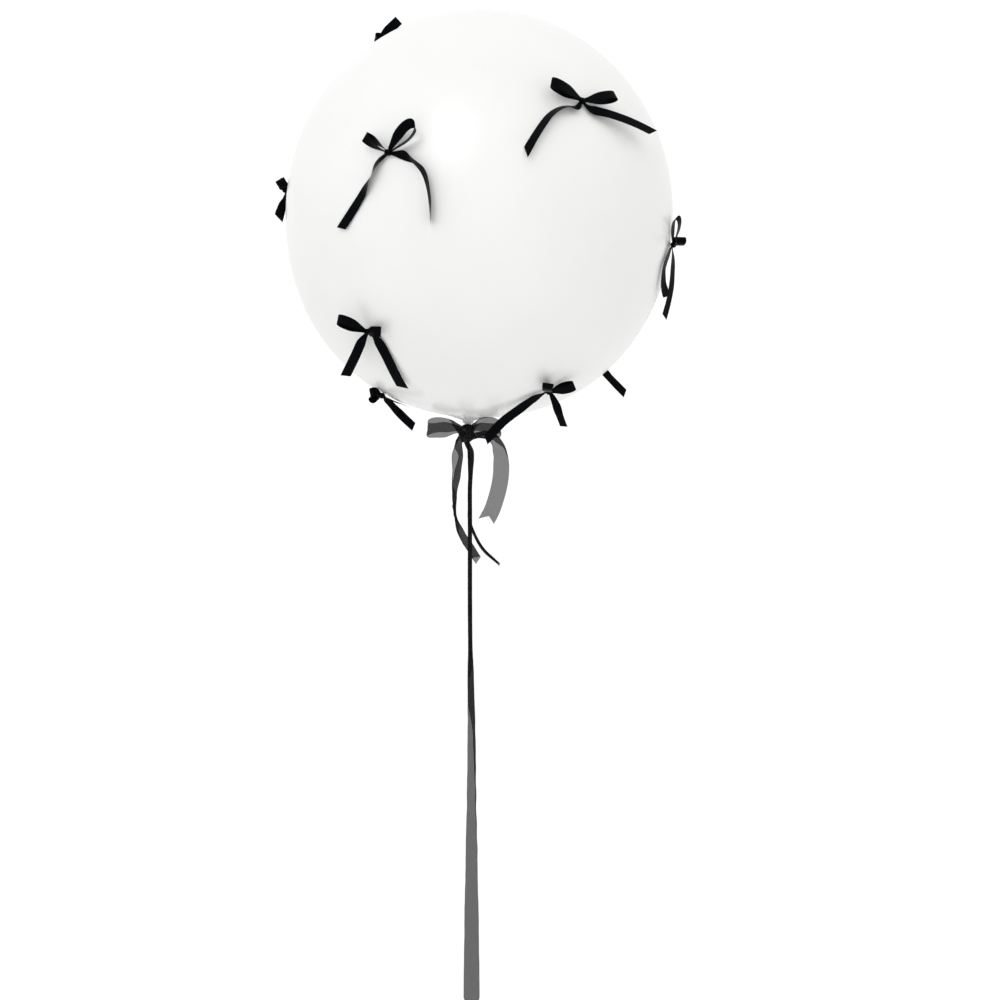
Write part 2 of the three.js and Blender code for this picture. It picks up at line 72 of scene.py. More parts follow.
SATIN_WIDTH = 15
SATIN_THICKNESS = 0.3
SATIN_PINCH = 0.36
SATIN_GAP = 0.8
SATIN_COLUMNS = 20
SATIN_KNOT_LENGTH = 5.5
SATIN_KNOT_RADIUS = 4.4
SATIN_KNOT_SQUARENESS = 2.6  # 2 would round the knot's ends like an ellipse
SATIN_KNOT_PLEAT = 0.05  # depth of its pleats, as a share of its radius
SATIN_KNOT_SHRINK = 0.98  # takes back some of the pleats' height
SATIN_KNOT_WIDEN = 1.08  # across, along the skin
SATIN_SPREAD = 26  # how far from the knot's middle a tail has spread to its full width
SATIN_TAIL_INSET = 1.5  # how far a tail's root is tucked into the knot
GLUE_DOT_RADIUS = 5
GLUE_DOT_THICKNESS = 1
CLEARANCE = 0.3

ORGANZA_WIDTH = 25
ORGANZA_COLUMNS = 30
ORGANZA_LOOP_STEPS = 90
ORGANZA_TAIL_STEPS = 110
TETHER_STEPS = 220
TETHER_COLUMNS = 36
HAND_LOOP_COLUMNS = 24
ORGANZA_LOOP_GAP = 1.0  # between the folds of gathered organza
ORGANZA_TAIL_GAP = 0.8
TETHER_GAP = 0.7
NECK_LOOP_PINCH = 0.34  # a loop's width at its knot, as a share of the full width
HAND_LOOP_PINCH = 0.4
NECK_LOOP_RISE = 2.5  # how far the neck bow's loops sit above the CAD's, and how much more in their middle
NECK_LOOP_ARCH = 4
NECK_BOW_KNOT = np.array([-3.0, -18.0, -13.0])
NECK_KNOT_SHIFT = np.array([1.2, 0, -2.5])
NECK_KNOT_SIZE = (12.4, 8.2, 14.4)
HAND_LOOP = {"level": -912, "drop": 78, "open": 40, "knot": (9, 7.2, 9)}

# How a folded or pinched ribbon is shaped
FOLD_ROUNDING = 0.97  # 1 would crease the folds sharply
FOLD_DRIFT = 0.25  # how far the folds wander across, and how quickly along the ribbon, per mm
FOLD_DRIFT_RATE = 0.03
CUT_REACH = 1.4  # the end's slant starts this many widths before it
CRUMPLE_ACROSS = 2.2  # steps of the noise over the width, and along the ribbon per mm
CRUMPLE_ALONG = 0.045
LOOP_FLARE = 0.55  # share of its reach at which a loop has its full width
SATIN_LOOP_START = 0.08  # radians round the loop at which its ribbon comes out of the knot
HAND_LOOP_START = 0.07

# The skin's fine pleats and its throat, by radius from the balloon's axis
PLEATS_START = 70
PLEATS_FULL = 8
THROAT_START = 34
THROAT_FULL = 4
THROAT_RADIUS = 8.6
THROAT_DROP = 5.0
THROAT_END = (8.0, -9.5)  # radius of the open end, and its level against the skin's lowest one
PLEATED_RADIUS = 8.5  # pleats show outside this radius

# Each bow: seat (degrees round from the front, and up), loops, tails' points [right, up, rise, turn], cuts
SATIN_BOWS = [
    ("bow_1", (-92.5, 56.5),
     [dict(aim=87, pitch=12, reach=46, open=12, tilt=12),
      dict(aim=170, pitch=16, reach=36, open=12, tilt=40)],
     [[(6, -17, 3, 8), (9, -34, 2, 10), (9, -50, 2, 4)],
      [(-12, -16, 4, 10), (-36, -32, 2, 0), (-54, -46, 2, 0)]], (0.5, 0.4)),
    ("bow_2", (-26, 9.5),
     [dict(aim=150, pitch=14, reach=43, open=9, tilt=10, twist=70),
      dict(aim=40, pitch=11, reach=58, open=20, tilt=0, lean=(-66, -62, -22, -12))],
     [[(-17, -15, 5, 35), (-25, -35, 4, 55), (-43, -63, 2, 10), (-64, -90, 2, 0), (-86, -116, 4, 0)],
      [(25, -4, 4, 35), (42, -13, 5, 70), (61, -30, 8, 52), (73, -64, 8, 60), (78, -107, 6, 76)]],
     (-0.6, 0.5)),
    ("bow_3", (32, 28.5),
     [dict(aim=166, pitch=12, reach=61, open=13, tilt=76), dict(aim=8, pitch=14, reach=55, open=12, tilt=80)],
     [[(-12, -13, 5, 30), (-32, -14, 5, 52), (-57, -27, 4, 50), (-86, -59, 3, 45), (-111, -93, 5, 38)],
      [(12, -12, 6, 10), (40, -18, 12, 0), (78, -26, 20, 0), (119, -36, 29, 0)]], (1.1, 1.2)),
    ("bow_4", (-92, 4.5),
     [dict(aim=26, pitch=14, reach=26, open=11, tilt=35),
      dict(aim=152, pitch=16, reach=32, open=12, tilt=40)],
     [[(5, -15, 5, 20), (8, -30, 8, 55), (11, -46, 12, 84)],
      [(-16, -16, 4, 10), (-22, -30, 2, 0), (-22, -48, 2, 0)]], (-0.7, 0.4)),
    ("bow_5", (80, -6.5),
     [dict(aim=126, pitch=3, reach=48, open=10, tilt=78),
      dict(aim=168, pitch=26, reach=34, open=12, tilt=15)],
     [[(-17, -15, 4, 6), (-34, -41, 5, 6), (-26, -64, 9, 10), (-10, -80, 17, 16)],
      [(1, -17, 8, 10), (7, -40, 12, 18), (13, -67, 17, 25), (17, -109, 23, 30)]], (0.5, 0.6)),
    ("bow_6", (-39, -40),
     [dict(aim=118, pitch=28, reach=50, open=12, tilt=0), dict(aim=11, pitch=14, reach=36, open=11, tilt=50)],
     [[(-9, -10, 15, 0), (-23, -28, 29, 0), (-44, -51, 45, 0)],
      [(10, -11, 5, -20), (14, -35, 6, -26), (12, -66, 7, -22), (5, -114, 9, -20)]], (-0.7, 0.8)),
    ("bow_7", (-76, -64.5),
     [dict(aim=56, pitch=14, reach=24, open=11, tilt=40),
      dict(aim=158, pitch=22, reach=24, open=11, tilt=30)],
     [[(-10, -17, 4, 10), (-32, -36, 2, 0), (-50, -48, 3, 0)],
      [(19, -11, 12, 40), (28, -32, 23, 62), (38, -56, 36, 62)]], (0.4, 0.5)),
    ("bow_8", (46.5, -58.5),
     [dict(aim=142, pitch=10, reach=44, open=11, tilt=60),
      dict(aim=62, pitch=12, reach=40, open=10, tilt=58)],
     [[(-15, -22, 8, 20), (-24, -48, 15, 35), (-29, -79, 24, 35), (-29, -118, 43, 30)],
      [(9, -4, 24, 40), (13, -8, 41, 50), (19, -13, 57, 50)]], (0.8, 0.2)),
    ("bow_9", (131.5, -38),
     [dict(aim=100, pitch=18, reach=44, open=15, tilt=50),
      dict(aim=10, pitch=20, reach=40, open=15, tilt=60)],
     [[(-17, -9, 26, 30), (-33, -18, 49, 45), (-50, -26, 73, 45)],
      [(11, -18, 4, 15), (34, -42, 3, 0), (50, -68, 3, 0)]], (0.2, 0.5)),
    ("bow_10", (178, 52),
     [dict(aim=148, pitch=20, reach=50, open=16, tilt=55),
      dict(aim=28, pitch=18, reach=46, open=16, tilt=40)],
     [[(-16, -16, 4, 20), (-30, -42, 2, 0), (-40, -68, 2, 0), (-56, -92, 3, 0)],
      [(14, -17, 4, 15), (28, -46, 2, 0), (42, -76, 3, 0)]], (-0.6, 0.6)),
    ("bow_11", (141, 8),
     [dict(aim=138, pitch=18, reach=52, open=18, tilt=25, lean=(40, 0)),
      dict(aim=30, pitch=20, reach=44, open=15, tilt=62)],
     [[(-20, -14, 4, 20), (-36, -38, 3, 30), (-42, -64, 3, 0), (-54, -88, 3, 0)],
      [(20, -12, 4, 40), (46, -28, 4, 60), (66, -52, 3, 10), (90, -78, 3, 0)]], (-0.5, 0.7)),
    ("bow_12", (-152, -22),
     [dict(aim=152, pitch=20, reach=48, open=16, tilt=64),
      dict(aim=34, pitch=18, reach=50, open=18, tilt=20, twist=20)],
     [[(-18, -16, 4, 20), (-34, -42, 3, 0), (-44, -70, 6, 0), (-60, -96, 10, 0)],
      [(16, -15, 4, 15), (30, -42, 3, 0), (42, -70, 5, 0)]], (0.6, -0.5)),
]

NECK_BOW_LOOPS = [
    dict(name="neck_bow_left_loop", side=-1, reach=60, open=20, droop=-2, tilt=26),
    dict(name="neck_bow_right_loop", side=1, reach=53, open=20, droop=-3, tilt=-26),
]
NECK_BOW_LEFT_TAIL = dict(
    points=[(-14, -8, -28), (-16, -3, -50), (-18, 2, -80), (-21, 5, -112), (-20, 7, -141),
            (-11, 8, -168), (3, 9, -192), (15, 9, -210)],
    widths=[11, 18, 14, 8, 4, 11, 14, 13],
    turns=[10, 10, 14, 20, 20, 10, 10, 14])
NECK_BOW_RIGHT_TAIL = dict(
    points=[(15, 6, -17), (30, 7, -17), (43, 6, -26), (50, 3, -44), (52, 0, -66),
            (50, -3, -90), (44, -3, -115), (37, -3, -135), (28, -3, -152)],
    widths=[10, 14, 17, 22, 25, 25, 25, 25, 25],
    turns=[6, 8, 10, 8, 4, 0, 0, 0, 0])
TETHER_SHORT_END = dict(
    points=[(1, -12, -30), (2, -11, -60), (3, -10, -110), (3, -10, -150), (10, -10, -170),
            (23, -10, -193), (45, -10, -214)],
    widths=[4, 4, 4, 4, 4, 4, 4],
    turns=[0, 0, 0, 30, 50, 40, 0])
TETHER = dict(
    points=[(-3, -18, -27), (1, -18, -34), (5, -18, -43), (6, -18, -54), (5, -18, -72), (3.5, -18, -98),
            (3.5, -18, -140), (3.5, -18, -200), (3.5, -18, -270), (4, -18, -340), (5, -18, -410),
            (6, -18, -490), (6, -18, -580), (6, -18, -680), (6, -18, -780), (6, -18, -886), (6, -18, -902)],
    widths=[7, 9, 9, 8, 7, 7, 7, 7, 7, 7, 12, 18, 22, 24, 25, 25, 10],
    turns=[0, 0, 0, 0, 0, 0, 0, 0, 0, 0, 30, 45, 48, 38, 25, 6, 0])


# ---------------------------------------------------------------- shape helpers

def smooth(t):
    t = np.clip(t, 0, 1)
    return t * t * (3 - 2 * t)


def along(keys, t):
    """The value of a list of keys, spread evenly from 0 to 1, at t."""
    place = t * (len(keys) - 1)
    k = min(int(place), len(keys) - 2)
    return keys[k] + (keys[k + 1] - keys[k]) * float(smooth(place - k))


def curve_point(points, t):
    """A centripetal Catmull-Rom curve through the points, at t from 0 to 1."""
    last = len(points) - 1
    place = last * t
    k = min(int(place), last - 1)
    w = place - k
    p1, p2 = points[k], points[k + 1]
    p0 = points[k - 1] if k > 0 else 2 * points[0] - points[1]
    p3 = points[k + 2] if k + 2 <= last else 2 * points[last] - points[last - 1]
    d1 = np.linalg.norm(p2 - p1) ** 0.5 or 1.0
    d0 = np.linalg.norm(p1 - p0) ** 0.5 or d1
    d2 = np.linalg.norm(p3 - p2) ** 0.5 or d1
    m1 = ((p1 - p0) / d0 - (p2 - p0) / (d0 + d1) + (p2 - p1) / d1) * d1
    m2 = ((p2 - p1) / d1 - (p3 - p1) / (d1 + d2) + (p3 - p2) / d2) * d1
    return (p1 + m1 * w + (3 * (p2 - p1) - 2 * m1 - m2) * w ** 2
            + (2 * (p1 - p2) + m1 + m2) * w ** 3)


def about(vector, axis, angle):
    """The vector turned about the axis."""
    axis = axis / np.linalg.norm(axis)
    return (vector * math.cos(angle) + np.cross(axis, vector) * math.sin(angle)
            + axis * np.dot(axis, vector) * (1 - math.cos(angle)))


def unit(vector):
    return vector / np.linalg.norm(vector)


def share_out(point):
    """How far a point lies out from the balloon's centre, as a share of the way to the surface."""
    x, y, z = point - BALLOON_CENTRE
    height, power = (CROWN_HEIGHT, 2) if z > 0 else (BASE_DEPTH, BASE_FULLNESS)
    return ((math.hypot(x, y) / BALLOON_RADIUS) ** power + (abs(z) / height) ** power) ** (1 / power)


def over_balloon(point, height):
    out = point - BALLOON_CENTRE
    return out / share_out(point) + unit(out) * height + BALLOON_CENTRE


def leaned(points):
    """Points of the upright balloon, in the part's frame."""
    points = np.asarray(points, float)
    c, s = math.cos(BALLOON_LEAN), math.sin(BALLOON_LEAN)
    x, y, z = points[..., 0], points[..., 1], points[..., 2]
    return np.stack([c * x + s * z, y, c * z - s * x], axis=-1)


def make_mesh(name, vertices, faces, material, uvs=None, smooth_shading=True):
    mesh = bpy.data.meshes.new(name)
    mesh.from_pydata([tuple(v) for v in np.asarray(vertices) * MM], [], faces)
    if uvs is not None:
        layer = mesh.uv_layers.new(name="ribbon")
        for loop in mesh.loops:
            layer.data[loop.index].uv = uvs[loop.vertex_index]
    mesh.polygons.foreach_set("use_smooth", [smooth_shading] * len(mesh.polygons))
    mesh.validate()
    mesh.update()
    obj = bpy.data.objects.new(name, mesh)
    bpy.context.scene.collection.objects.link(obj)
    obj.data.materials.append(material)
    return obj


def grid_faces(rows, columns, first=0, closed=False):
    """Quads of a grid of rows x columns of vertices; closed joins its last column to its first."""
    faces = []
    for i in range(rows - 1):
        for j in range(columns if closed else columns - 1):
            a = first + i * columns + j
            b = first + i * columns + (j + 1) % columns
            faces.append((a, b, b + columns, a + columns))
    return faces


def folded(u):
    """A zigzag from 1 to -1 and back as u grows by 2, with its turns rounded."""
    return np.arcsin(FOLD_ROUNDING * np.cos(math.pi * u)) / math.asin(FOLD_ROUNDING)


def ribbon_grid(places, facings, widths, turns, full_width, columns, gap, cut=0.0, notch=0.0,
                crumple=0.0, seed=0.0):
    """Vertices, UVs and length of a ribbon. Where it is narrower than its full width it lies in folds, a gap
    apart."""
    places = np.asarray(places, float)
    steps = len(places) - 1
    ahead = np.gradient(places, axis=0)
    ahead /= np.linalg.norm(ahead, axis=1)[:, None]
    lengths = np.concatenate([[0], np.cumsum(np.linalg.norm(np.diff(places, axis=0), axis=1))])
    shares = np.arange(columns + 1) / columns
    vertices, uvs = [], []
    for i in range(steps + 1):
        flat = unit(np.cross(facings[i], ahead[i]))
        across = about(flat, ahead[i], math.radians(turns[i]))
        through = np.cross(ahead[i], across)
        layers = max(full_width / widths[i], 1)
        shift = FOLD_DRIFT * (layers - 1) * math.sin(lengths[i] * FOLD_DRIFT_RATE + seed) / layers
        side = -folded(layers * shares + shift) / 2
        lift = gap * (layers - 1) * (shares - 0.5)
        to_end = lengths[-1] - lengths[i]
        shear = float(smooth(1 - to_end / (CUT_REACH * full_width)))
        for j, s in enumerate(shares - 0.5):
            rise = lift[j]
            if crumple:
                rise += crumple * noise.noise(Vector((s * CRUMPLE_ACROSS, lengths[i] * CRUMPLE_ALONG, seed)))
            slant = shear * full_width * (s * cut - notch * (0.5 - abs(s)))
            vertices.append(places[i] + across * side[j] * widths[i] + through * rise + ahead[i] * slant)
            uvs.append(((s + 0.5) * full_width * MM, lengths[i] * MM))
    return vertices, uvs, float(lengths[-1])


def ribbon_piece(name, grids, columns, material, thickness=0.0):
    """One piece of one or more ribbon grids, and the length of them together."""
    vertices, uvs, faces, length = [], [], [], 0.0
    for grid_vertices, grid_uvs, grid_length in grids:
        rows = len(grid_vertices) // (columns + 1)
        faces += grid_faces(rows, columns + 1, len(vertices))
        vertices += grid_vertices
        uvs += grid_uvs
        length += grid_length
    obj = make_mesh(name, vertices, faces, material, uvs)
    if thickness:
        solid = obj.modifiers.new("thickness", "SOLIDIFY")
        solid.thickness = thickness * MM
        solid.offset = 0
    return obj, length


# ---------------------------------------------------------------- materials

def new_material(name):
    material = bpy.data.materials.new(name)
    material.use_nodes = True
    nodes = material.node_tree.nodes
    return material, nodes, material.node_tree.links, nodes["Principled BSDF"]


def add_node(nodes, kind, **values):
    node = nodes.new(kind)
    for key, value in values.items():
        if key in node.inputs:
            node.inputs[key].default_value = value
        else:
            setattr(node, key, value)
    return node


def set_ramp(node, stops):
    ramp = node.color_ramp
    while len(ramp.elements) < len(stops):
        ramp.elements.new(0.5)
    for element, (place, colour) in zip(ramp.elements, stops):
        element.position = place
        element.color = colour


def add_ramp(nodes, links, source, stops):
    ramp = add_node(nodes, "ShaderNodeValToRGB")
    set_ramp(ramp, stops)
    links.new(source, ramp.inputs["Fac"])
    return ramp.outputs["Color"]


def add_bump(nodes, links, height, shader, strength, distance):
    bump = add_node(nodes, "ShaderNodeBump", Strength=strength, Distance=distance)
    links.new(height, bump.inputs["Height"])
    links.new(bump.outputs["Normal"], shader.inputs["Normal"])


def add_selvedge(nodes, links, place, width, outside, inside):
    """0 over a ribbon's middle and 1 along its edges, changing between the two distances from the edge."""
    split = add_node(nodes, "ShaderNodeSeparateXYZ")
    links.new(place.outputs["UV"], split.inputs["Vector"])
    middle = add_node(nodes, "ShaderNodeMath", operation="SUBTRACT")
    middle.inputs[1].default_value = width * MM / 2
    links.new(split.outputs["X"], middle.inputs[0])
    distance = add_node(nodes, "ShaderNodeMath", operation="ABSOLUTE")
    links.new(middle.outputs["Value"], distance.inputs[0])
    edge = add_node(nodes, "ShaderNodeMapRange")
    edge.inputs["From Min"].default_value = (width / 2 - inside) * MM
    edge.inputs["From Max"].default_value = (width / 2 - outside) * MM
    links.new(distance.outputs["Value"], edge.inputs["Value"])
    return edge.outputs["Result"]


def latex_material(name, tones, rough=(0.24, 0.34)):
    """Stretched latex: cloudy, a little translucent, with a fine orange-peel and a soft gloss."""
    material, nodes, links, shader = new_material(name)
    place = add_node(nodes, "ShaderNodeTexCoord")
    cloud = add_node(nodes, "ShaderNodeTexNoise", Scale=5.0, Detail=4.0, Roughness=0.55)
    links.new(place.outputs["Object"], cloud.inputs["Vector"])
    tone = add_ramp(nodes, links, cloud.outputs["Fac"], [(0.35, tones[0]), (0.65, tones[1])])
    links.new(tone, shader.inputs["Base Color"])
    gloss = add_node(nodes, "ShaderNodeMapRange")
    gloss.inputs["To Min"].default_value, gloss.inputs["To Max"].default_value = rough
    links.new(cloud.outputs["Fac"], gloss.inputs["Value"])
    links.new(gloss.outputs["Result"], shader.inputs["Roughness"])
    skin = add_node(nodes, "ShaderNodeTexNoise", Scale=420.0, Detail=2.0)
    links.new(place.outputs["Object"], skin.inputs["Vector"])
    add_bump(nodes, links, skin.outputs["Fac"], shader, 0.04, 0.0004)
    shader.inputs["IOR"].default_value = 1.5
    shader.inputs["Subsurface Weight"].default_value = 0.25
    shader.inputs["Subsurface Radius"].default_value = (0.04, 0.036, 0.03)
    shader.inputs["Subsurface Scale"].default_value = 0.6
    return material


def satin_material():
    """Black polyester satin: long smooth floats across the ribbon, a woven edge, and a cool soft sheen."""
    material, nodes, links, shader = new_material("satin_black")
    place = add_node(nodes, "ShaderNodeTexCoord")
    stretch = add_node(nodes, "ShaderNodeMapping")
    stretch.inputs["Scale"].default_value = (2600, 240, 1)
    links.new(place.outputs["UV"], stretch.inputs["Vector"])
    floats = add_node(nodes, "ShaderNodeTexNoise", Scale=1.0, Detail=3.0, Roughness=0.6)
    links.new(stretch.outputs["Vector"], floats.inputs["Vector"])
    tone = add_ramp(nodes, links, floats.outputs["Fac"],
                    [(0.3, (0.0008, 0.0009, 0.0012, 1)), (0.75, (0.0022, 0.0025, 0.0036, 1))])
    edge = add_selvedge(nodes, links, place, SATIN_WIDTH, outside=0.5, inside=1.0)
    # A colour mix has its two colours at sockets 6 and 7, and its result at output 2
    colour = add_node(nodes, "ShaderNodeMix", data_type="RGBA")
    links.new(edge, colour.inputs["Factor"])
    links.new(tone, colour.inputs[6])
    colour.inputs[7].default_value = (0.002, 0.002, 0.0025, 1)
    links.new(colour.outputs[2], shader.inputs["Base Color"])
    rough = add_node(nodes, "ShaderNodeMapRange")
    rough.inputs["To Min"].default_value = 0.3
    rough.inputs["To Max"].default_value = 0.46
    links.new(floats.outputs["Fac"], rough.inputs["Value"])
    links.new(rough.outputs["Result"], shader.inputs["Roughness"])
    add_bump(nodes, links, floats.outputs["Fac"], shader, 0.35, 0.0002)
    shader.inputs["Specular IOR Level"].default_value = 0.025
    shader.inputs["Specular Tint"].default_value = (0.72, 0.84, 1, 1)
    return material


def organza_material(name, cover):
    """Sheer black organza: fine open threads both ways, with a denser woven selvedge along each edge."""
    material, nodes, links, shader = new_material(name)
    place = add_node(nodes, "ShaderNodeTexCoord")
    weave = []
    for axis in ("X", "Y"):
        thread = add_node(nodes, "ShaderNodeTexWave", wave_type="BANDS", bands_direction=axis)
        thread.inputs["Scale"].default_value = 520
        thread.inputs["Distortion"].default_value = 0.6
        links.new(place.outputs["UV"], thread.inputs["Vector"])
        weave.append(thread)
    threads = add_node(nodes, "ShaderNodeMath", operation="MAXIMUM")
    links.new(weave[0].outputs["Fac"], threads.inputs[0])
    links.new(weave[1].outputs["Fac"], threads.inputs[1])
    sheer = add_node(nodes, "ShaderNodeMapRange")
    sheer.inputs["To Min"].default_value = cover - 0.16
    sheer.inputs["To Max"].default_value = min(cover + 0.06, 1)
    links.new(threads.outputs["Value"], sheer.inputs["Value"])
    edge = add_selvedge(nodes, links, place, ORGANZA_WIDTH, outside=0.8, inside=1.4)
    # A number mix has its two numbers at sockets 2 and 3, and its result at output 0
    alpha = add_node(nodes, "ShaderNodeMix", data_type="FLOAT")
    links.new(edge, alpha.inputs["Factor"])
    links.new(sheer.outputs["Result"], alpha.inputs[2])
    alpha.inputs[3].default_value = 0.97
    links.new(alpha.outputs[0], shader.inputs["Alpha"])
    mottle = add_node(nodes, "ShaderNodeTexNoise", Scale=300.0, Detail=3.0)
    links.new(place.outputs["UV"], mottle.inputs["Vector"])
    tone = add_ramp(nodes, links, mottle.outputs["Fac"],
                    [(0.35, (0.002, 0.002, 0.0025, 1)), (0.7, (0.006, 0.006, 0.007, 1))])
    links.new(tone, shader.inputs["Base Color"])
    add_bump(nodes, links, threads.outputs["Value"], shader, 0.25, 0.0002)
    shader.inputs["Roughness"].default_value = 0.5
    shader.inputs["Specular IOR Level"].default_value = 0.08
    return material


def glue_material():
    """Clear soft adhesive, faintly cloudy."""
    material, nodes, links, shader = new_material("glue_clear")
    cloud = add_node(nodes, "ShaderNodeTexNoise", Scale=600.0, Detail=3.0)
    place = add_node(nodes, "ShaderNodeTexCoord")
    links.new(place.outputs["Object"], cloud.inputs["Vector"])
    tone = add_ramp(nodes, links, cloud.outputs["Fac"],
                    [(0.3, (0.78, 0.77, 0.74, 1)), (0.7, (0.88, 0.875, 0.85, 1))])
    links.new(tone, shader.inputs["Base Color"])
    add_bump(nodes, links, cloud.outputs["Fac"], shader, 0.2, 0.0003)
    shader.inputs["Roughness"].default_value = 0.18
    shader.inputs["Transmission Weight"].default_value = 0.55
    return material


LATEX = latex_material("latex_white", [(0.74, 0.74, 0.724, 1), (0.765, 0.765, 0.75, 1)])
LATEX_NECK = latex_material("latex_neck", [(0.80, 0.79, 0.74, 1), (0.84, 0.83, 0.79, 1)], (0.34, 0.46))
SATIN = satin_material()
ORGANZA = organza_material("organza_black", 0.80)
ORGANZA_DENSE = organza_material("organza_gathered", 0.875)
GLUE = glue_material()


# ---------------------------------------------------------------- camera, tether and hand loop

camera_data = bpy.data.cameras.new("camera")
camera_data.lens = CAMERA_LENS
camera_data.sensor_width = CAMERA_SENSOR
camera_data.clip_end = CAMERA_REACH
camera = bpy.data.objects.new("camera", camera_data)
camera.location = CAMERA_PLACE
camera.rotation_euler = (math.pi / 2, 0, 0)
bpy.context.scene.collection.objects.link(camera)
bpy.context.scene.camera = camera


def hanging(spec, steps, gap, columns, extra=(), **shape):
    """The grid and the line of a hanging organza ribbon; extra points come first, inside the knot."""
    points = [np.array(p, float) for p in spec["points"]]
    ts = [i / steps for i in range(steps + 1)]
    places = [curve_point(points, t) for t in ts]
    widths = [along(spec["widths"], t) for t in ts]
    turns = [along(spec["turns"], t) for t in ts]
    if extra:
        lead = [np.array(p, float) for p in extra]
        places = lead + places
        widths = [widths[0]] * len(lead) + widths
        turns = [turns[0]] * len(lead) + turns
    facings = [VIEWER] * len(places)
    grid = ribbon_grid(places, facings, widths, turns, ORGANZA_WIDTH, columns, gap, **shape)
    return grid, places


tether_grid, tether_line = hanging(TETHER, TETHER_STEPS, TETHER_GAP, TETHER_COLUMNS, crumple=1.2, seed=3.1)
tether, tether_length = ribbon_piece("tether_ribbon_cloth", [tether_grid], TETHER_COLUMNS, ORGANZA_DENSE)
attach(tether, "tether")
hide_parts("tether_ribbon")


def loop_line(reach, gape, start, width, pinch, steps, twist=0, lean=(0, 0)):
    """Places, facings, widths and turns of a ribbon loop that leaves the origin towards +X and comes back."""
    places, facings, widths, turns = [], [], [], []
    for i in range(steps + 1):
        angle = start + (math.pi - 2 * start) * i / steps
        turned = math.radians(twist * math.sin(angle) ** 2)
        spot = np.array([reach * math.sin(angle), gape / 2 * math.sin(2 * angle), 0.0])
        places.append(about(spot, np.array([1.0, 0, 0]), turned))
        facings.append(about(UP, np.array([1.0, 0, 0]), turned))
        spread = float(smooth(math.sin(angle) / LOOP_FLARE))
        widths.append(width * (pinch + (1 - pinch) * spread))
        turns.append(90 + along(lean, i / steps))
    return places, facings, widths, turns


def organza_knot(name, centre, size, material, seed, wraps=3):
    """A tight crumpled knot of organza: a rounded lump with diagonal wraps and creases."""
    rows, columns = 28, 40
    vertices = []
    for i in range(rows + 1):
        polar = math.pi * i / rows
        for j in range(columns):
            turn = 2 * math.pi * j / columns
            out = np.array([math.sin(polar) * math.cos(turn), math.sin(polar) * math.sin(turn),
                            math.cos(polar)])
            crease = 0.10 * math.sin(wraps * (turn + 1.6 * polar) + seed)
            rough = 0.16 * noise.noise(Vector(out * 2.4) + Vector((seed, 0, 0)))
            swell = 1 + (crease + rough) * math.sin(polar)
            vertices.append(np.array(centre) + out * np.array(size) * swell)
    # UVs stay near the ribbon's middle, clear of its dense edge
    uvs = [(ORGANZA_WIDTH * MM / 2 + v[0] * MM * 0.3, v[2] * MM) for v in vertices]
    return make_mesh(name, vertices, grid_faces(rows + 1, columns, closed=True), material, uvs)


def below_tether(point):
    """A point of the hand loop, hung with its own +X down from the tether's lower end."""
    end_x, end_y, _ = TETHER["points"][-1]
    return np.array([end_x + point[1], end_y + point[2], HAND_LOOP["level"] - point[0]])


hand_places, _, hand_widths, hand_turns = loop_line(
    HAND_LOOP["drop"], HAND_LOOP["open"], HAND_LOOP_START, ORGANZA_WIDTH, HAND_LOOP_PINCH,
    ORGANZA_LOOP_STEPS)
hand_grid = ribbon_grid([below_tether(p) for p in hand_places], [-VIEWER] * len(hand_places), hand_widths,
                        hand_turns, ORGANZA_WIDTH, HAND_LOOP_COLUMNS, TETHER_GAP, crumple=0.8, seed=8.0)
hand_loop, _ = ribbon_piece("hand_loop_cloth", [hand_grid], HAND_LOOP_COLUMNS, ORGANZA_DENSE)
hand_knot = organza_knot("hand_loop_knot", below_tether(np.zeros(3)), HAND_LOOP["knot"], ORGANZA_DENSE, 2.0)
for piece in (hand_loop, hand_knot):
    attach(piece, "tether")
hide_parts("hand_loop")


# ---------------------------------------------------------------- balloon

def balloon_skin():
    """The inflated skin, gathered into fine pleats where it runs into the neck."""
    rows, columns = 120, 192
    vertices = []
    for i in range(rows + 1):
        turn = math.pi * i / rows
        below = turn < math.pi / 2
        height, power = (BASE_DEPTH, BASE_FULLNESS) if below else (CROWN_HEIGHT, 2)
        radius = BALLOON_RADIUS * math.sin(turn) ** (2 / power)
        level = height * abs(math.cos(turn)) ** (2 / power)
        z = WIDEST_LEVEL + (-level if below else level)
        for j in range(columns):
            around = 2 * math.pi * j / columns
            pleat = 0.0
            if below and radius < PLEATS_START:
                near = float(smooth((PLEATS_START - radius) / (PLEATS_START - PLEATS_FULL)))
                pleat = near * (0.9 * math.cos(15 * around + 0.4) + 0.5 * math.cos(23 * around + 1.3))
            if i == 0:
                r, drop = THROAT_END
            else:
                neck = float(smooth((THROAT_START - radius) / (THROAT_START - THROAT_FULL))) if below else 0.0
                r, drop = max(radius, THROAT_RADIUS if below else 0), -THROAT_DROP * neck
            r = max(r + pleat * 0.35 * (r > PLEATED_RADIUS), 0)
            vertices.append((r * math.cos(around), r * math.sin(around), z + drop + 0.6 * pleat * (i > 0)))
    return make_mesh("balloon_skin", leaned(vertices), grid_faces(rows + 1, columns, closed=True), LATEX)


skin = balloon_skin()
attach(skin, "balloon")
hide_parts("balloon_envelope")


